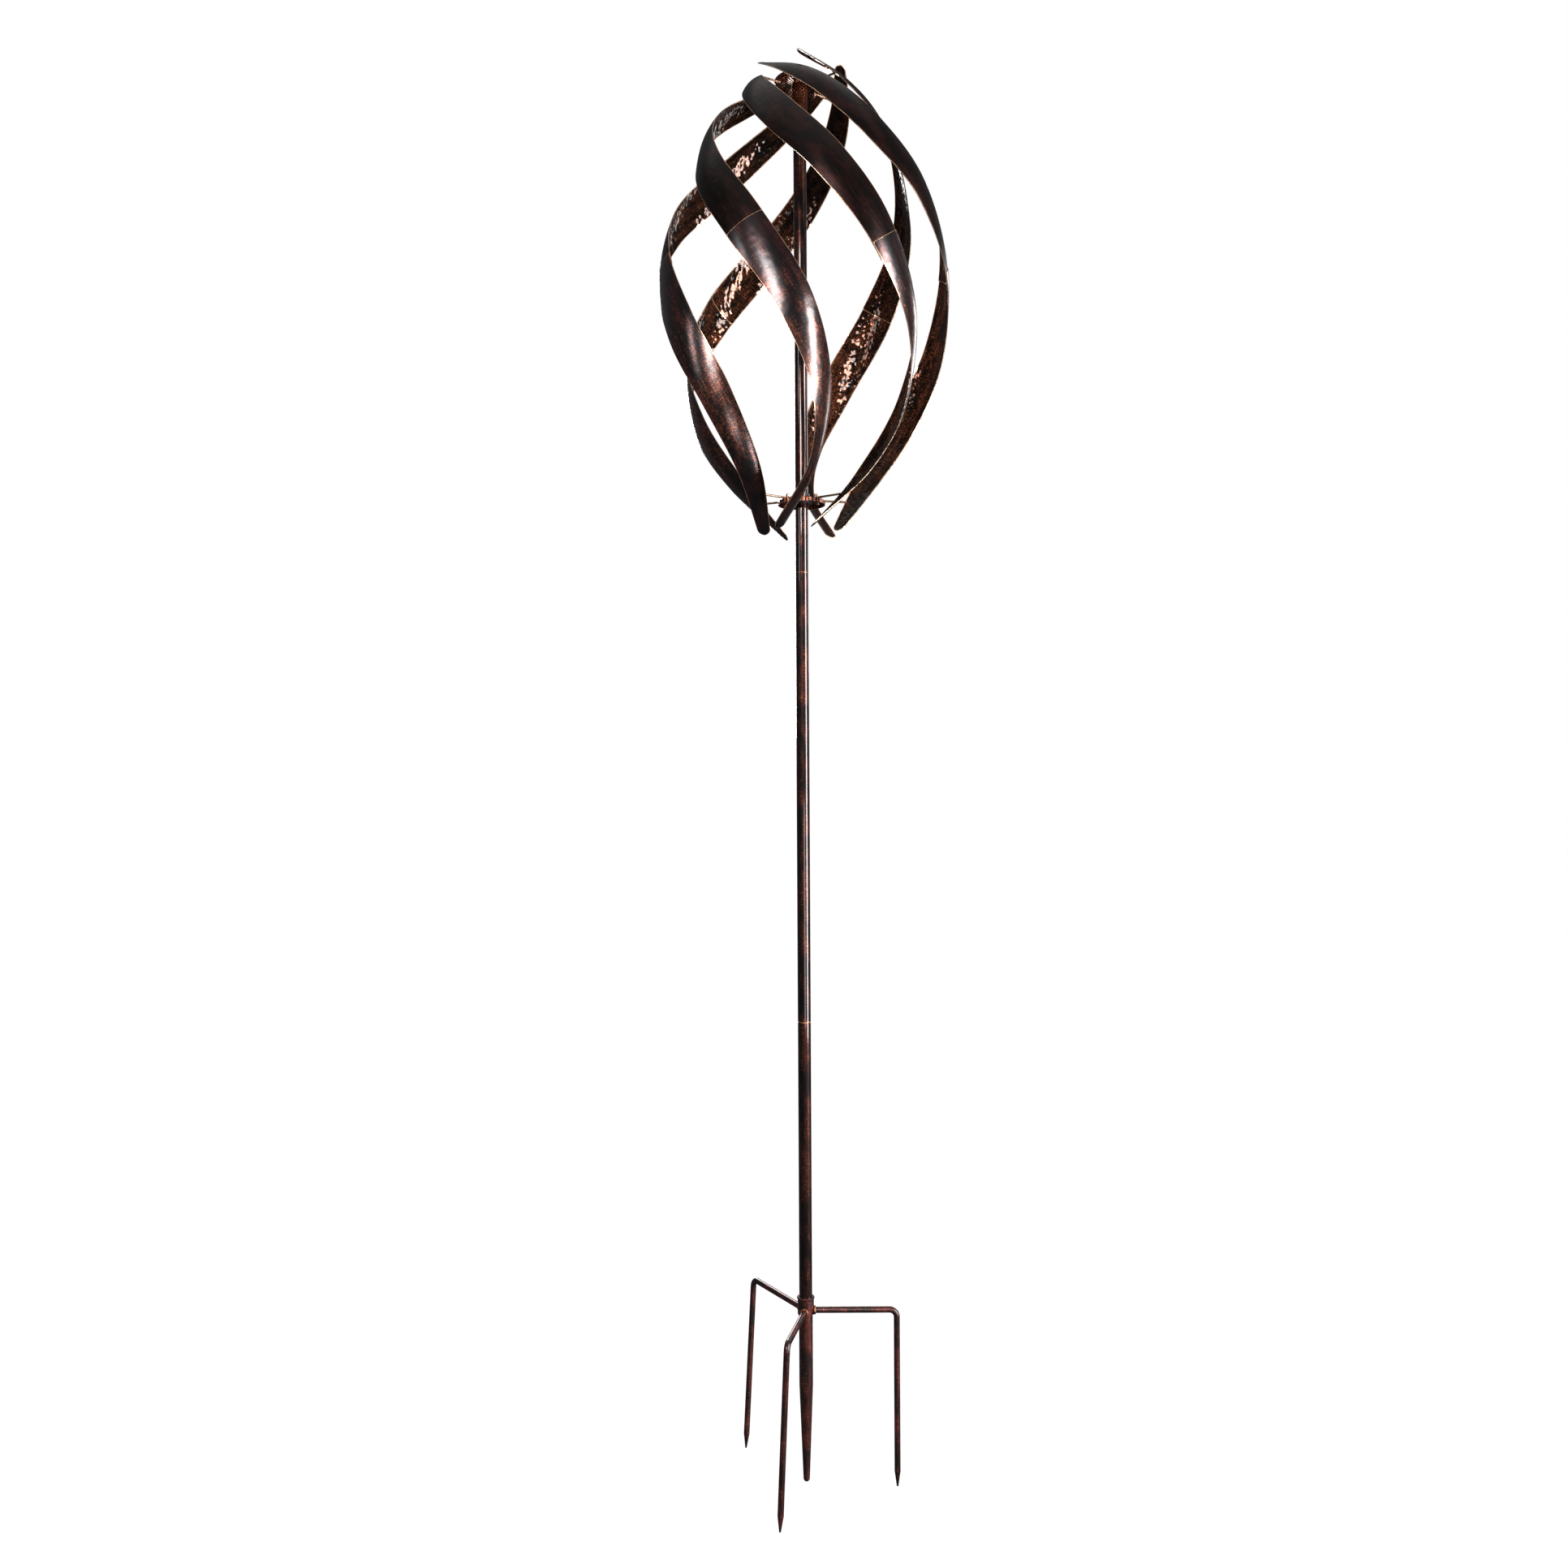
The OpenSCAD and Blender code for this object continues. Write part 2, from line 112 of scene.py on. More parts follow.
world = bpy.data.worlds.new("studio")
world.use_nodes = True
world.node_tree.nodes.clear()
seen = add_node(world, "LightPath")
wall = add_node(world, "Background", Color=white, Strength=1.0)
room = add_node(world, "Background", Color=room_grey, Strength=1.0)
either = add_node(world, "MixShader", Fac=seen.outputs["Is Camera Ray"])
world.node_tree.links.new(room.outputs[0], either.inputs[1])
world.node_tree.links.new(wall.outputs[0], either.inputs[2])
add_node(world, "OutputWorld", Surface=either.outputs[0])
bpy.context.scene.world = world

bm = bmesh.new()
bmesh.ops.create_circle(bm, cap_ends=True, segments=96, radius=floor_radius)
bmesh.ops.translate(bm, verts=bm.verts, vec=(0, 0, floor_z))
floor_mesh = bpy.data.meshes.new("floor")
bm.to_mesh(floor_mesh)
bm.free()
floor = bpy.data.objects.new("floor", floor_mesh)
bpy.context.scene.collection.objects.link(floor)
paper = bpy.data.materials.new("studio_paper")
paper.use_nodes = True
paper.node_tree.nodes.clear()
matt = add_node(paper, "BsdfDiffuse", Color=(0.9, 0.9, 0.9, 1.0))
glow = add_node(paper, "Emission", Color=white, Strength=paper_glow)
lit = add_node(paper, "MixShader", Fac=glow_share)
paper.node_tree.links.new(matt.outputs[0], lit.inputs[1])
paper.node_tree.links.new(glow.outputs[0], lit.inputs[2])
add_node(paper, "OutputMaterial", Surface=lit.outputs[0])
floor_mesh.materials.append(paper)
floor.visible_glossy = False
floor.visible_diffuse = False


def soft_light(name, place, aim, width, height, power):
    """A soft box of that width and height, at a place and turned to its aim."""
    data = bpy.data.lights.new(name, "AREA")
    data.shape = "RECTANGLE"
    data.size, data.size_y = width, height
    data.energy = power
    light = bpy.data.objects.new(name, data)
    light.location = place
    light.rotation_euler = (Vector(aim) - Vector(place)).to_track_quat("-Z", "Y").to_euler()
    bpy.context.scene.collection.objects.link(light)


soft_light("right_strip", (2.3, -1.05, 0.95), (0, 0, 0.95), 0.75, 2.2, 150)
soft_light("front_box", (-0.5, -2.7, 1.95), (0, 0, 1.2), 0.85, 0.9, 62)
soft_light("left_box", (-1.9, -1.7, 1.7), (0, 0, 1.2), 0.35, 0.8, 8)
soft_light("overhead", (-0.2, -0.1, 3.1), (0, 0, 1.2), 2.6, 2.6, 9)
soft_light("low_front", (0.7, -2.3, 0.25), (0, 0, 0), 0.9, 0.7, 10)
soft_light("back_right", (1.6, 1.9, 1.6), (0, 0, 1.2), 0.6, 1.2, 9)
soft_light("back_box", (-0.7, 2.8, 1.6), (0, 0, 1.0), 0.9, 1.6, 55)

# ---------------------------------------------------------------------------------------------
# Blades: six twisted ribbons of thin sheet, each a lower and an upper strip lapped and soldered at
# its widest place. The sheet is hammered, copper plated, darkened, rubbed back and lacquered.
# ---------------------------------------------------------------------------------------------
upper_half_h = 0.253
lower_half_h = 0.315
seam_r = 0.172
lower_tip_r = 0.047
upper_tip_r = 0.052
blade_w = 0.048
lower_tip_w = 0.015
upper_tip_w = 0.012
sheet = 0.0009
blade_bulge = 0.005
blade_lap = 0.2
lap_gap = 0.00005
arm_bite = 0.002

# Share of the half's height, share of the way out to the seam's radius, swing in degrees, share of
# the width, and lean in degrees, at each station from a tip to the seam and on to the other tip.
lower_stations = [
    (1, 0, -18, 0, -87),
    (0.79, 0.30, 30, 0.40, -64),
    (0.55, 0.70, 31, 0.70, -40),
    (0.28, 0.95, 19, 0.92, -18),
]
seam_station = (0, 1, 0, 1, -10)
upper_stations = [
    (0.29, 0.89, -19, 0.92, -4),
    (0.53, 0.64, -39, 0.84, -4),
    (0.73, 0.38, -61, 0.68, -13),
    (0.88, 0.12, -90, 0.45, -35),
    (1, 0, -147, 0, -86),
]
blade_numbers = range(1, 7)
blade_spacing = 60
first_blade_angle = 248
blade_offsets = [0, -8, -17, -15, 1, 2]
blade_bows = [1, 1, 1.015, 1, 1, 0.972]
seam_offsets = [0, -0.12, 0, 0.2, 0.3, 0]
upper_arm_u = 8.2
u_step = 0.02
least_tip_share = 0.3


def mix(a, b, f):
    return a + (b - a) * f


def knot(station, tip_r, tip_w, height):
    """One point of a blade's middle line, with its width and lean."""
    share_up, share_out, swing, share_wide, lean = station
    r = mix(tip_r, seam_r, share_out)
    swing = math.radians(swing)
    width = mix(tip_w, blade_w, share_wide)
    return np.array([r * math.cos(swing), r * math.sin(swing), share_up * height, width, lean])


knots = [knot(s, lower_tip_r, lower_tip_w, -lower_half_h) for s in lower_stations]
knots.append(knot(seam_station, seam_r, blade_w, 0))
knots += [knot(s, upper_tip_r, upper_tip_w, upper_half_h) for s in upper_stations]
last_knot = len(knots) - 1
seam_u = len(lower_stations)


def slope(k):
    low, high = max(k - 1, 0), min(k + 1, last_knot)
    return (knots[high] - knots[low]) / (high - low)


def blade_at(u):
    """Middle line, width and lean at u. Whole numbers of u are the knots."""
    k = min(int(u), last_knot - 1)
    f = u - k
    return (
        (2 * f**3 - 3 * f * f + 1) * knots[k]
        + (f**3 - 2 * f * f + f) * slope(k)
        + (3 * f * f - 2 * f**3) * knots[k + 1]
        + (f**3 - f * f) * slope(k + 1)
    )


def unit(v):
    return v / np.linalg.norm(v)


def strip_axes(u):
    """Directions across the strip and out of its outer face at u."""
    here = blade_at(u)
    ahead, behind = blade_at(min(u + u_step, last_knot)), blade_at(max(u - u_step, 0))
    line = unit(ahead[:3] - behind[:3])
    radial = unit(np.array([here[0], here[1], 0]))
    out = unit(radial - radial.dot(line) * line)
    side = np.cross(line, out)
    lean = math.radians(here[4])
    across = side * math.cos(lean) + out * math.sin(lean)
    return across, out * math.cos(lean) - side * math.sin(lean)


bottom_rate = np.linalg.norm(slope(0)[:3])
top_rate = np.linalg.norm(slope(last_knot)[:3])


def tip_share(distance, radius):
    """Share of the width that is left near a rounded tip."""
    if distance >= radius:
        return 1
    return max(least_tip_share, math.sqrt(1 - (1 - distance / radius) ** 2))


def width_at(u):
    bottom = tip_share(u * bottom_rate, lower_tip_w / 2)
    top = tip_share((last_knot - u) * top_rate, upper_tip_w / 2)
    return blade_at(u)[3] * bottom * top


def arm_end(u):
    return blade_at(u)[:3] + strip_axes(u)[0] * (width_at(u) / 2 - arm_bite)


arm_low, arm_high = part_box("arm_1_upper")
seam_z = (arm_low.z + arm_high.z) / 2 - arm_end(upper_arm_u)[2]

# The mesh, the hammer's dents and the slow waves under them, and how far from an edge or the seam
# the sheet stays smooth. The shifts give each blade dents and waves of its own.
row_gap = 0.0017
columns = 30
curve_samples = 400
crease_angle = 0.9
dent_size = 0.0105
dent_squash = 0.85
dent_depth = 0.00014
bowl_reach = 0.62
rim_steepness = 2.2
bowl_share = 0.75
wave_length = 0.035
wave_width = 0.03
dent_shift = 7.3
wave_shift = 3.1
smooth_margin = 0.006
seam_smooth = 0.008
seam_fade = 0.012


def dent_at(along, across, blade):
    """How deep the hammer has sunk the sheet at this place."""
    place = Vector((along / dent_size, across / dent_size * dent_squash, blade * dent_shift))
    nearest, second = noise.voronoi(place)[0][:2]
    wave = noise.noise(Vector((along / wave_length, across / wave_width, blade * wave_shift)))
    bowl = max(0.0, 1 - (nearest / bowl_reach) ** 2) * min(1, (second - nearest) * rim_steepness)
    return dent_depth * (bowl_share * bowl + (1 - bowl_share) * (wave + 1) / 2)


def hammered_strip(name, number, u0, u1, outer):
    """One strip of a blade, outer metres out from the middle surface on its outer face."""
    steps = np.linspace(u0, u1, curve_samples)
    bow = np.array([blade_bows[number - 1], blade_bows[number - 1], 1])
    points = np.array([blade_at(u)[:3] * bow for u in steps])
    run = np.concatenate([[0], np.cumsum(np.linalg.norm(np.diff(points, axis=0), axis=1))])
    rows = int(run[-1] / row_gap)
    bm = bmesh.new()
    bmesh.ops.create_grid(bm, x_segments=rows, y_segments=columns, size=1.0)
    along_layer = bm.verts.layers.float.new("along")
    across_layer = bm.verts.layers.float.new("across")
    edge_layer = bm.verts.layers.float.new("edge")
    seam_run = run[-1] if u0 == 0 else 0.0
    station = {}
    for v in bm.verts:
        share, side = (v.co.x + 1) / 2, -v.co.y
        key = round(share * rows)
        if key not in station:
            u = float(np.interp(share * run[-1], run, steps))
            station[key] = (blade_at(u)[:3] * bow, *strip_axes(u), width_at(u))
        centre, across, facing, width = station[key]
        x = side * width / 2
        along = share * run[-1] - seam_run
        ends = min(share, 1 - share) * run[-1]
        edge = min(width / 2 - abs(x), ends)
        calm = min(1, edge / smooth_margin) * min(1, max(0, abs(along) - seam_smooth) / seam_fade)
        bulge = blade_bulge * width / blade_w * (1 - side * side)
        dent = dent_at(along, x, number) * calm
        v.co = centre + across * x + facing * (bulge + outer - dent)
        v[along_layer] = along + number
        v[across_layer] = x
        v[edge_layer] = edge
    turn = first_blade_angle + blade_spacing * (number - 1) + blade_offsets[number - 1]
    bmesh.ops.rotate(
        bm, verts=bm.verts, cent=(0, 0, 0), matrix=Matrix.Rotation(math.radians(turn), 3, "Z")
    )
    bmesh.ops.translate(bm, verts=bm.verts, vec=(0, 0, seam_z))
    bm.normal_update()
    outer_faces = set(bm.faces)
    bmesh.ops.solidify(bm, geom=list(bm.faces), thickness=sheet)
    bm.normal_update()
    for face in bm.faces:
        face.smooth = True
        border = [e for e in face.edges if e.calc_face_angle(0) > crease_angle]
        face.material_index = 2 if len(border) >= 2 else 0 if face in outer_faces else 1
        for e in border:
            e.smooth = False
    mesh = bpy.data.meshes.new(name)
    bm.to_mesh(mesh)
    bm.free()
    piece = bpy.data.objects.new(name, mesh)
    bpy.context.scene.collection.objects.link(piece)
    return piece


def new_group(name, takes, gives):
    """An empty shader group. takes and gives list its inputs and outputs by name and type."""
    group = bpy.data.node_groups.new(name, "ShaderNodeTree")
    for label, kind in takes:
        group.interface.new_socket(label, in_out="INPUT", socket_type="NodeSocket" + kind)
    for label, kind in gives:
        group.interface.new_socket(label, in_out="OUTPUT", socket_type="NodeSocket" + kind)
    return group, group.nodes.new("NodeGroupInput"), group.nodes.new("NodeGroupOutput")


def maths(tree, operation, *values, clamp=False):
    made = add_node(tree, "Math", {"operation": operation, "use_clamp": clamp})
    for socket, value in zip(made.inputs, values):
        feed(socket, value)
    return made.outputs[0]


def ramp(tree, value, low, high, to_low=0.0, to_high=1.0):
    """A soft step of value from low to high."""
    made = add_node(
        tree, "MapRange", {"interpolation_type": "SMOOTHSTEP"}, Value=value,
        From_Min=low, From_Max=high, To_Min=to_low, To_Max=to_high
    )
    return made.outputs[0]


def blend(tree, share, first, second):
    """Two colours mixed by a share."""
    made = add_node(tree, "Mix", {"data_type": "RGBA"})
    for place, value in ((0, share), (6, first), (7, second)):
        feed(made.inputs[place], value)
    return made.outputs[2]


def stretched(tree, place, x, y, z):
    """A place measured in grains of x, y and z metres."""
    made = add_node(tree, "VectorMath", {"operation": "DIVIDE"}, Vector=place)
    made.inputs[1].default_value = (x, y, z)
    return made.outputs[0]


def cloud(tree, place, detail=3.0, rough=0.55):
    made = add_node(tree, "TexNoise", Vector=place, Scale=1.0, Detail=detail, Roughness=rough)
    return made.outputs["Fac"]


# Rubbed patina: dark where the chemical took, red brown where it is thin, and bright copper where
# it was rubbed through along the strip, with dark specks. Place has the strip's line along X. The
# weights say how much each kind of mark decides where copper shows.
stroke_weight = 0.34
patch_weight = 0.22
tick_weight = 0.44
no_copper_level = 0.66
full_copper_drop = 0.30
copper_fade = 0.13

patina, given, made = new_group(
    "rubbed_patina",
    [("Place", "Vector"), ("Copper", "Float"), ("Dark Colour", "Color"), ("Red Colour", "Color"),
     ("Bright Colour", "Color")],
    [("Colour", "Color"), ("Rubbed", "Float"), ("Roughness", "Float"), ("Height", "Float")],
)
place = given.outputs["Place"]
strokes = cloud(patina, stretched(patina, place, 0.022, 0.0016, 0.0016), 4.0, 0.65)
patches = cloud(patina, stretched(patina, place, 0.032, 0.013, 0.013), 3.0)
specks = cloud(patina, stretched(patina, place, 0.0022, 0.0014, 0.0014), 2.0)
grain = cloud(patina, stretched(patina, place, 0.0009, 0.0006, 0.0006), 2.0)
ticks = cloud(patina, stretched(patina, place, 0.0016, 0.006, 0.006), 3.0, 0.6)
rub = maths(
    patina, "ADD", maths(patina, "MULTIPLY", strokes, stroke_weight),
    maths(patina, "MULTIPLY", patches, patch_weight)
)
rub = maths(patina, "ADD", rub, maths(patina, "MULTIPLY", ticks, tick_weight))
drop = maths(patina, "MULTIPLY", given.outputs["Copper"], full_copper_drop)
start = maths(patina, "SUBTRACT", no_copper_level, drop)
rubbed = maths(
    patina, "MULTIPLY",
    maths(patina, "DIVIDE", maths(patina, "SUBTRACT", rub, start), copper_fade, clamp=True),
    ramp(patina, specks, 0.40, 0.52),
)
thin = ramp(patina, patches, 0.38, 0.66)
base = blend(patina, thin, given.outputs["Dark Colour"], given.outputs["Red Colour"])
base = blend(patina, rubbed, base, given.outputs["Bright Colour"])
base = blend(patina, ramp(patina, grain, 0.3, 0.75, 0.75, 1.0), (0, 0, 0, 1), base)
patina.links.new(base, made.inputs["Colour"])
patina.links.new(rubbed, made.inputs["Rubbed"])
patina.links.new(ramp(patina, strokes, 0.3, 0.7, 0.30, 0.46), made.inputs["Roughness"])
height = maths(
    patina, "ADD", maths(patina, "MULTIPLY", strokes, 0.6), maths(patina, "MULTIPLY", grain, 0.4)
)
patina.links.new(height, made.inputs["Height"])

# Bare edge: metal that shows where the lacquer has worn off within a distance of an edge.
bare_edge, given, made = new_group(
    "bare_edge", [("Place", "Vector"), ("Distance", "Float"), ("Reach", "Float")], [("Mask", "Float")]
)
ragged = cloud(bare_edge, stretched(bare_edge, given.outputs["Place"], 0.012, 0.004, 0.004), 3.0)
reach = maths(bare_edge, "MULTIPLY", given.outputs["Reach"], ramp(bare_edge, ragged, 0.3, 0.7, 0.5, 1.2))
near = maths(bare_edge, "DIVIDE", given.outputs["Distance"], reach)
bare_edge.links.new(ramp(bare_edge, near, 0.8, 1.1, 1.0, 0.0), made.inputs["Mask"])

# Hammer marks: shallow bowls side by side, for relief finer than the sheet's own shape.
hammer, given, made = new_group(
    "hammer_marks", [("Place", "Vector"), ("Size", "Float")], [("Height", "Float")]
)
scaled = add_node(hammer, "VectorMath", {"operation": "SCALE"}, Vector=given.outputs["Place"])
hammer.links.new(maths(hammer, "DIVIDE", 1.0, given.outputs["Size"]), scaled.inputs["Scale"])
bowls = add_node(
    hammer, "TexVoronoi", {"feature": "SMOOTH_F1"}, Vector=scaled.outputs[0], Scale=1.0,
    Smoothness=0.35
)
hammer.links.new(bowls.outputs["Distance"], made.inputs["Height"])


def use_group(material, group, **inputs):
    made = add_node(material, "Group", {"node_tree": group}, **inputs)
    return made.outputs


def new_material(name):
    material = bpy.data.materials.new(name)
    material.use_nodes = True
    material.node_tree.nodes.clear()
    return material


def relief_from(material, height, strength, depth, **under):
    """A bump of that strength and depth, on top of the one under it where there is one."""
    made = add_node(material, "Bump", Strength=strength, Distance=depth, Height=height, **under)
    return made.outputs[0]


def finish_material(material, colour, roughness, normal, metallic, coat, coat_rough):
    """The lacquered metal itself, over whatever colour and relief it is given."""
    surface = add_node(
        material, "BsdfPrincipled", Base_Color=colour, Roughness=roughness, Metallic=metallic,
        Coat_Weight=coat, Coat_Roughness=coat_rough, Normal=normal
    )
    add_node(material, "OutputMaterial", Surface=surface.outputs[0])


def strip_place(material):
    along = add_node(material, "Attribute", {"attribute_name": "along"}).outputs["Fac"]
    across = add_node(material, "Attribute", {"attribute_name": "across"}).outputs["Fac"]
    return add_node(material, "CombineXYZ", X=along, Y=across).outputs[0]


bright_copper = (0.58, 0.17, 0.075, 1)
bare_copper = (0.82, 0.46, 0.28, 1)


def blade_face(name, copper, dark, red, marks, metal, lacquer, polish, edge_reach):
    """Finish of one face of the blades. copper lists heights above the seam and the share of
    bright copper that shows there. marks is the hammer marks' size, strength and depth, lacquer
    the weight and roughness of the clear coat, and polish scales the metal's own roughness."""
    material = new_material(name)
    where = strip_place(material)
    heights = add_node(material, "TexCoord").outputs["Object"]
    up = add_node(material, "SeparateXYZ", Vector=heights).outputs["Z"]
    share = None
    for (z0, s0), (z1, s1) in zip(copper, copper[1:]):
        step = ramp(material, up, seam_z + z0, seam_z + z1, 0.0, s1 - s0)
        share = maths(material, "ADD", step, s0 if share is None else share)
    skin = use_group(
        material, patina, Place=where, Copper=share, Dark_Colour=dark, Red_Colour=red,
        Bright_Colour=bright_copper
    )
    gap = add_node(material, "Attribute", {"attribute_name": "edge"}).outputs["Fac"]
    worn = use_group(material, bare_edge, Place=where, Distance=gap, Reach=edge_reach)["Mask"]
    colour = blend(material, worn, skin["Colour"], bare_copper)
    marks_height = use_group(material, hammer, Place=where, Size=marks[0])["Height"]
    relief = relief_from(material, marks_height, marks[1], marks[2])
    fine = relief_from(material, skin["Height"], 0.12, 0.0002, Normal=relief)
    rough = maths(material, "MULTIPLY", skin["Roughness"], polish)
    finish_material(material, colour, rough, fine, metal, *lacquer)
    return material


upper_outer = blade_face(
    "blade_upper_outer", [(-0.02, 0.24), (0.08, 0.12), (0.28, 0.02)],
    (0.011, 0.007, 0.006, 1), (0.036, 0.012, 0.010, 1), (0.008, 0.25, 0.0003), 0.92, (0.14, 0.3),
    0.95, 0.0005
)
lower_outer = blade_face(
    "blade_lower_outer", [(-0.32, 0.12), (-0.20, 0.62), (-0.07, 0.48), (0.0, 0.24)],
    (0.014, 0.008, 0.009, 1), (0.062, 0.017, 0.018, 1), (0.006, 0.3, 0.0003), 0.85, (0.9, 0.25),
    0.62, 0.0006
)
blade_inner = blade_face(
    "blade_inner", [(-0.32, 0.26), (-0.1, 0.58), (0.0, 0.52), (0.25, 0.34)],
    (0.010, 0.0065, 0.005, 1), (0.055, 0.021, 0.011, 1), (0.0075, 1.0, 0.0008), 0.6, (0.0, 0.1),
    0.28, 0.0009
)
cut_edge = new_material("blade_cut_edge")
edge_place = strip_place(cut_edge)
edge_skin = use_group(
    cut_edge, patina, Place=edge_place, Copper=1.0, Dark_Colour=(0.20, 0.10, 0.06, 1),
    Red_Colour=(0.55, 0.33, 0.20, 1), Bright_Colour=(0.95, 0.74, 0.52, 1)
)
edge_bump = relief_from(cut_edge, edge_skin["Height"], 0.3, 0.0002)
finish_material(cut_edge, edge_skin["Colour"], edge_skin["Roughness"], edge_bump, 0.95, 0.2, 0.2)

for number in blade_numbers:
    seam_at = seam_u + seam_offsets[number - 1]
    low = hammered_strip(f"blade_{number}_lower_strip", number, 0, seam_at, sheet)
    high = hammered_strip(
        f"blade_{number}_upper_strip", number, seam_at - blade_lap, last_knot, -lap_gap
    )
    for strip, outer_face, half in ((low, lower_outer, "lower"), (high, upper_outer, "upper")):
        for finish in (outer_face, blade_inner, cut_edge):
            strip.data.materials.append(finish)
        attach(strip, "rotor")
        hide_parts(f"blade_{number}_{half}")

# ---------------------------------------------------------------------------------------------
# Pole: three plug-together steel tubes, painted dark and rubbed with copper in long streaks, then
# lacquered. The lacquer has worn off the edges where two tubes meet.
# ---------------------------------------------------------------------------------------------
def coat_nodes(names, material):
    """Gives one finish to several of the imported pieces."""
    for name in names:
        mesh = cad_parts[name].data
        mesh.materials.clear()
        mesh.materials.append(material)


def upright_place(material):
    """A place on the object, with the pole's line along X."""
    at = add_node(material, "TexCoord").outputs["Object"]
    parts = add_node(material, "SeparateXYZ", Vector=at).outputs
    return add_node(material, "CombineXYZ", X=parts["Z"], Y=parts["X"], Z=parts["Y"]).outputs[0], parts


ring_reach = 0.0004

pole_finish = new_material("pole_lacquer")
pole_place, pole_parts = upright_place(pole_finish)
pole_skin = use_group(
    pole_finish, patina, Place=pole_place, Copper=0.40, Dark_Colour=(0.012, 0.008, 0.008, 1),
    Red_Colour=(0.055, 0.018, 0.013, 1), Bright_Colour=(0.35, 0.10, 0.05, 1)
)
pole_colour = pole_skin["Colour"]
for upper_tube in ("middle_pole", "upper_pole"):
    joint_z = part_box(upper_tube)[0].z
    gap = maths(pole_finish, "ABSOLUTE", maths(pole_finish, "SUBTRACT", pole_parts["Z"], joint_z))
    worn = use_group(pole_finish, bare_edge, Place=pole_place, Distance=gap, Reach=ring_reach)["Mask"]
    pole_colour = blend(pole_finish, worn, pole_colour, bare_copper)
pole_bump = relief_from(pole_finish, pole_skin["Height"], 0.15, 0.0003)
finish_material(pole_finish, pole_colour, pole_skin["Roughness"], pole_bump, 0.9, 0.75, 0.05)
coat_nodes(["lower_pole", "middle_pole", "upper_pole"], pole_finish)

# ---------------------------------------------------------------------------------------------
# Stake: a collar, a centre spike and three bent rods joined by lumpy weld beads, painted as the
# pole is and rubbed back to copper, most of all on the beads.
# ---------------------------------------------------------------------------------------------
stake_finish = new_material("stake_lacquer")
stake_place = upright_place(stake_finish)[0]
stake_skin = use_group(
    stake_finish, patina, Place=stake_place, Copper=0.46, Dark_Colour=(0.030, 0.018, 0.015, 1),
    Red_Colour=(0.15, 0.036, 0.030, 1), Bright_Colour=(0.45, 0.12, 0.075, 1)
)
stake_bump = relief_from(stake_finish, stake_skin["Height"], 0.25, 0.0004)
finish_material(stake_finish, stake_skin["Colour"], stake_skin["Roughness"], stake_bump, 0.8, 0.6, 0.3)
coat_nodes(["ground_spike", "stake_collar", "prong_1", "prong_2", "prong_3"], stake_finish)

weld_finish = new_material("weld_metal")
weld_place = upright_place(weld_finish)[0]
weld_skin = use_group(
    weld_finish, patina, Place=weld_place, Copper=0.9, Dark_Colour=(0.07, 0.025, 0.018, 1),
    Red_Colour=(0.26, 0.07, 0.045, 1), Bright_Colour=bright_copper
)
weld_bump = relief_from(weld_finish, weld_skin["Height"], 0.5, 0.0004)
finish_material(weld_finish, weld_skin["Colour"], weld_skin["Roughness"], weld_bump, 0.8, 0.5, 0.15)

collar_low, collar_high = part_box("stake_collar")
collar_edge = (collar_high.x - collar_low.x) / 2
foot_reach = 0.004
bead_r = 0.0014
bead_lift = 0.3
lump_size = 0.0022
lump_height = 0.09
lump_shift = 5.0
for number in (1, 2, 3):
    rod = [v.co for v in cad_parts[f"prong_{number}"].data.vertices]
    level = [p for p in rod if math.hypot(p.x, p.y) < collar_edge + foot_reach]
    foot = sum(level, Vector()) / len(level)
    line = Vector((foot.x, foot.y, 0)).normalized()
    rod_r = (max(p.z for p in level) - min(p.z for p in level)) / 2
    centre = line * collar_edge + Vector((0, 0, foot.z))
    bm = bmesh.new()
    bmesh.ops.create_circle(bm, segments=10, radius=bead_r)
    stand_up = line.to_track_quat("X", "Z").to_matrix().to_4x4()
    bmesh.ops.rotate(bm, verts=bm.verts, cent=(0, 0, 0), matrix=Matrix.Rotation(math.pi / 2, 3, "X"))
    bmesh.ops.translate(bm, verts=bm.verts, vec=(0, 0, rod_r + bead_r * bead_lift))
    bmesh.ops.spin(
        bm, geom=list(bm.verts) + list(bm.edges), cent=(0, 0, 0), axis=(1, 0, 0), dvec=(0, 0, 0),
        angle=math.tau, steps=40, use_merge=True, use_duplicate=False
    )
    bmesh.ops.remove_doubles(bm, verts=bm.verts, dist=0.00001)
    for v in bm.verts:
        lump = noise.noise(v.co / lump_size + Vector((number * lump_shift, 0, 0)))
        v.co *= 1 + lump_height * lump
    bmesh.ops.transform(bm, matrix=Matrix.Translation(centre) @ stand_up, verts=bm.verts)
    bmesh.ops.recalc_face_normals(bm, faces=bm.faces)
    for face in bm.faces:
        face.smooth = True
    bead_mesh = bpy.data.meshes.new(f"weld_bead_{number}")
    bm.to_mesh(bead_mesh)
    bm.free()
    bead = bpy.data.objects.new(f"weld_bead_{number}", bead_mesh)
    bpy.context.scene.collection.objects.link(bead)
    bead_mesh.materials.append(weld_finish)
    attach(bead, "stand")

# ---------------------------------------------------------------------------------------------
# Hubs and arms: discs with shallow ribs from the centre out, and eyeleted wires, in the same
# copper lacquer. The ribs are relief in the finish alone, and the bright copper along the crest
# of each rib is a painted highlight.
# ---------------------------------------------------------------------------------------------
hub_ribs = 36.0
# How much bright copper is painted along the crest of each rib as a highlight.
crest_highlight_share = 0.55

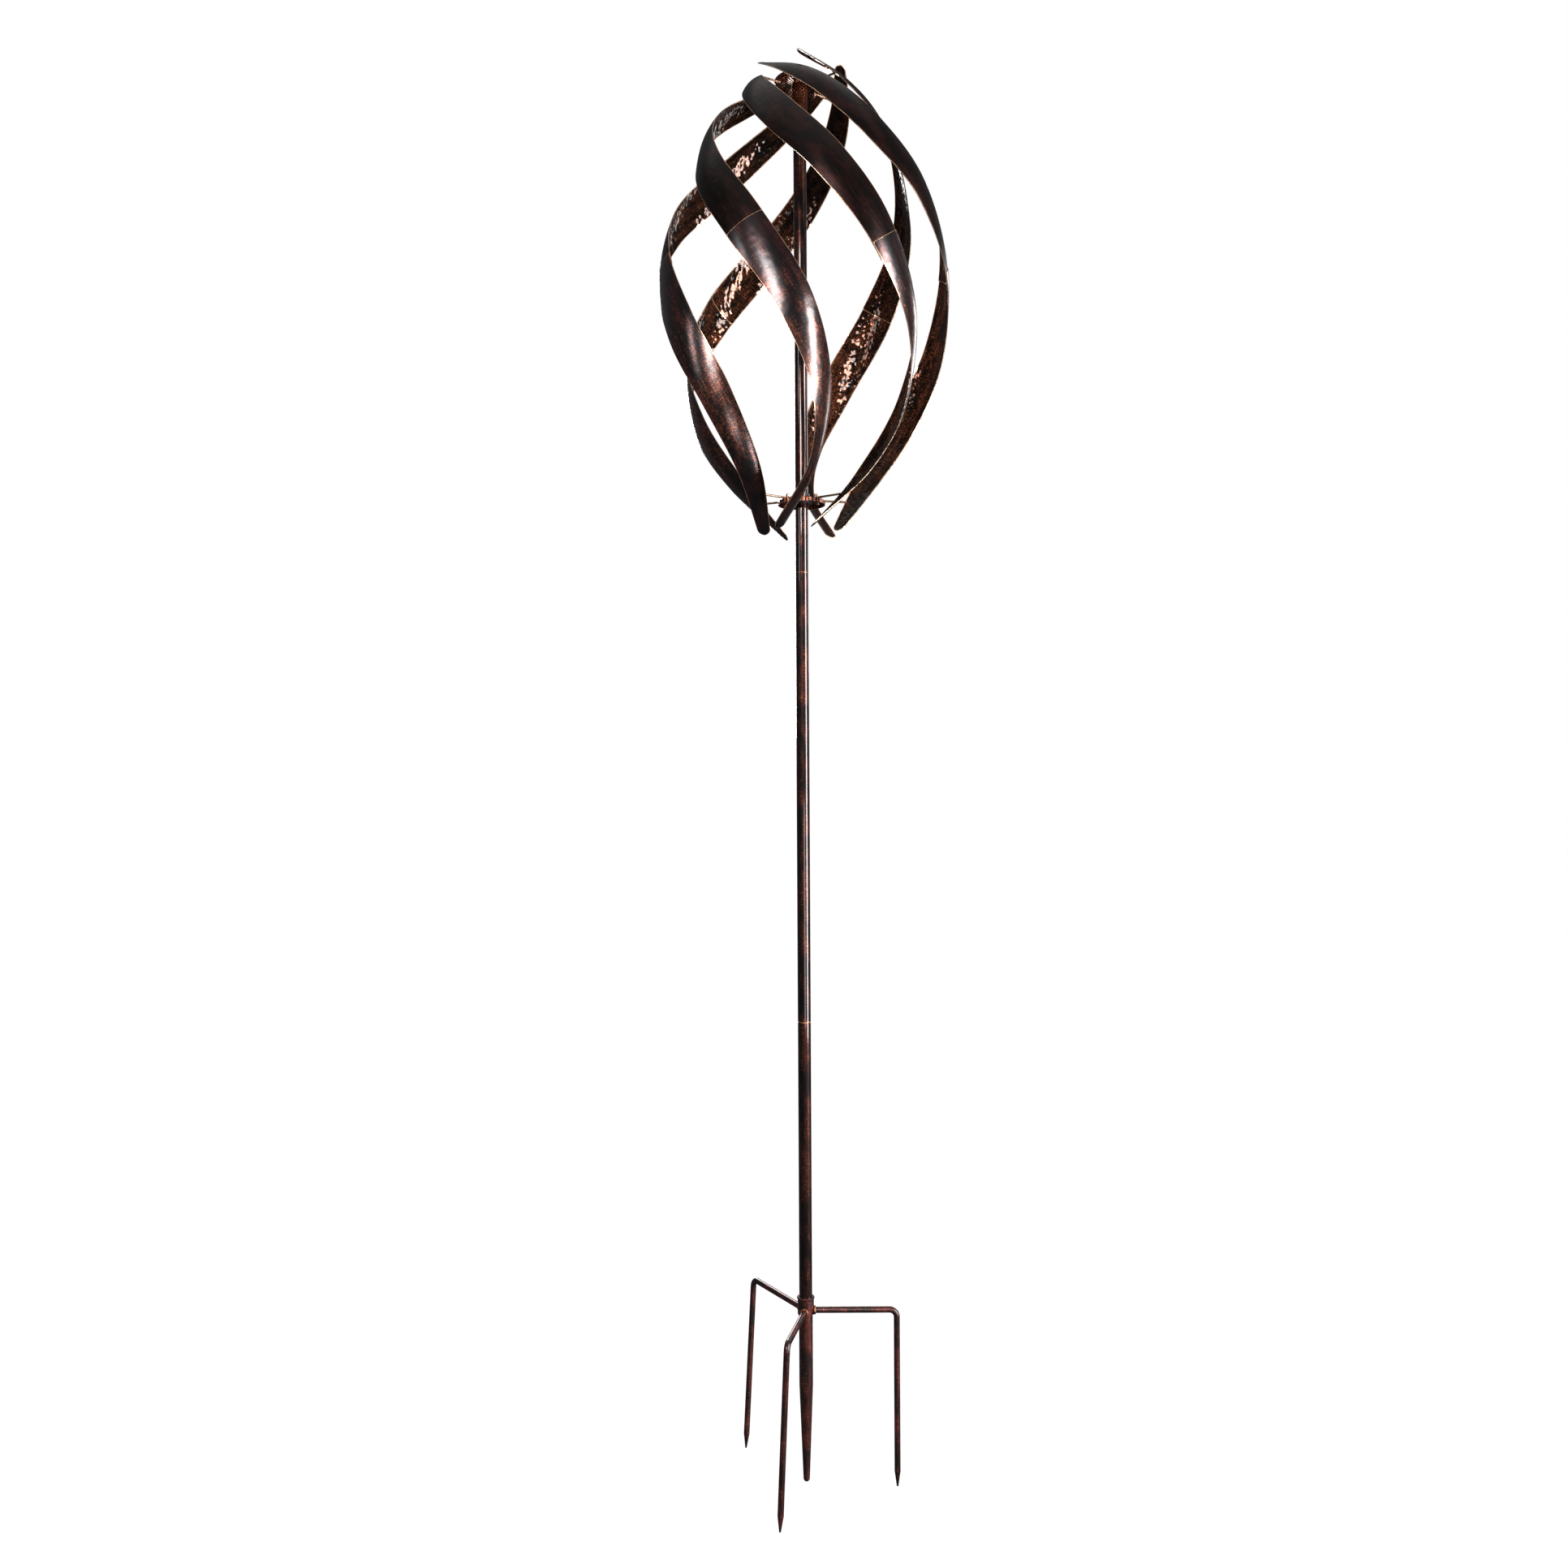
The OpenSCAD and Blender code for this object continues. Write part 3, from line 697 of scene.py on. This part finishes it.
hub_finish = new_material("hub_lacquer")
hub_place = add_node(hub_finish, "TexCoord").outputs["Object"]
hub_skin = use_group(
    hub_finish, patina, Place=hub_place, Copper=0.62, Dark_Colour=(0.02, 0.010, 0.008, 1),
    Red_Colour=(0.12, 0.040, 0.022, 1), Bright_Colour=bright_copper
)
hub_parts = add_node(hub_finish, "SeparateXYZ", Vector=hub_place).outputs
around = maths(hub_finish, "ARCTAN2", hub_parts["Y"], hub_parts["X"])
ribs = maths(hub_finish, "SINE", maths(hub_finish, "MULTIPLY", around, hub_ribs))
ribbed = relief_from(hub_finish, ribs, 0.6, 0.0008)
hub_bump = relief_from(hub_finish, hub_skin["Height"], 0.4, 0.0006, Normal=ribbed)
# Painted highlight: bright copper blended along the crest of each rib, where light would catch it.
painted_crest_highlight = maths(hub_finish, "MULTIPLY", ramp(hub_finish, ribs, 0.35, 0.95), crest_highlight_share)
hub_colour = blend(hub_finish, painted_crest_highlight, hub_skin["Colour"], bright_copper)
hub_rough = maths(hub_finish, "MULTIPLY", hub_skin["Roughness"], 0.5)
finish_material(hub_finish, hub_colour, hub_rough, hub_bump, 0.75, 0.1, 0.1)
coat_nodes(["upper_hub", "lower_hub"], hub_finish)

arm_finish = new_material("arm_lacquer")
arm_place = add_node(arm_finish, "TexCoord").outputs["Object"]
arm_skin = use_group(
    arm_finish, patina, Place=arm_place, Copper=0.62, Dark_Colour=(0.05, 0.025, 0.017, 1),
    Red_Colour=(0.22, 0.09, 0.05, 1), Bright_Colour=bare_copper
)
arm_bump = relief_from(arm_finish, arm_skin["Height"], 0.3, 0.0003)
finish_material(arm_finish, arm_skin["Colour"], arm_skin["Roughness"], arm_bump, 0.9, 0.6, 0.15)
arm_names = [f"arm_{n}_{half}" for n in blade_numbers for half in ("upper", "lower")]
coat_nodes(arm_names, arm_finish)

# ---------------------------------------------------------------------------------------------
# Bearings and fixings: a turned brass cup, a steel plug and pin, a black nylon bush, and plated
# screws and nuts toned brown.
# ---------------------------------------------------------------------------------------------
def turned_material(name, light, dark, roughness, metallic, relief):
    """Plain turned or moulded stock, with the tool's fine rings and a little handling wear."""
    material = new_material(name)
    at = add_node(material, "TexCoord").outputs["Object"]
    rings = cloud(material, stretched(material, at, 0.02, 0.02, 0.0003), 2.0)
    smears = cloud(material, stretched(material, at, 0.004, 0.004, 0.004), 3.0)
    colour = blend(material, ramp(material, smears, 0.35, 0.7), light, dark)
    rough = ramp(material, smears, 0.3, 0.7, roughness, roughness + 0.12)
    bump = relief_from(material, rings, relief, 0.0002)
    finish_material(material, colour, rough, bump, metallic, 0.0, 0.1)
    return material


coat_nodes(["bearing_cup"], turned_material(
    "turned_brass", (0.78, 0.58, 0.27, 1), (0.45, 0.30, 0.13, 1), 0.25, 1.0, 0.3))
coat_nodes(["pole_plug", "pivot_pin"], turned_material(
    "turned_steel", (0.60, 0.60, 0.62, 1), (0.38, 0.38, 0.40, 1), 0.25, 1.0, 0.3))
coat_nodes(["lower_bush"], turned_material(
    "black_nylon", (0.035, 0.032, 0.030, 1), (0.02, 0.018, 0.017, 1), 0.45, 0.0, 0.15))
coat_nodes(["upper_screws", "upper_nuts", "lower_screws", "lower_nuts"], turned_material(
    "toned_steel", (0.50, 0.33, 0.25, 1), (0.16, 0.09, 0.07, 1), 0.28, 1.0, 0.3))
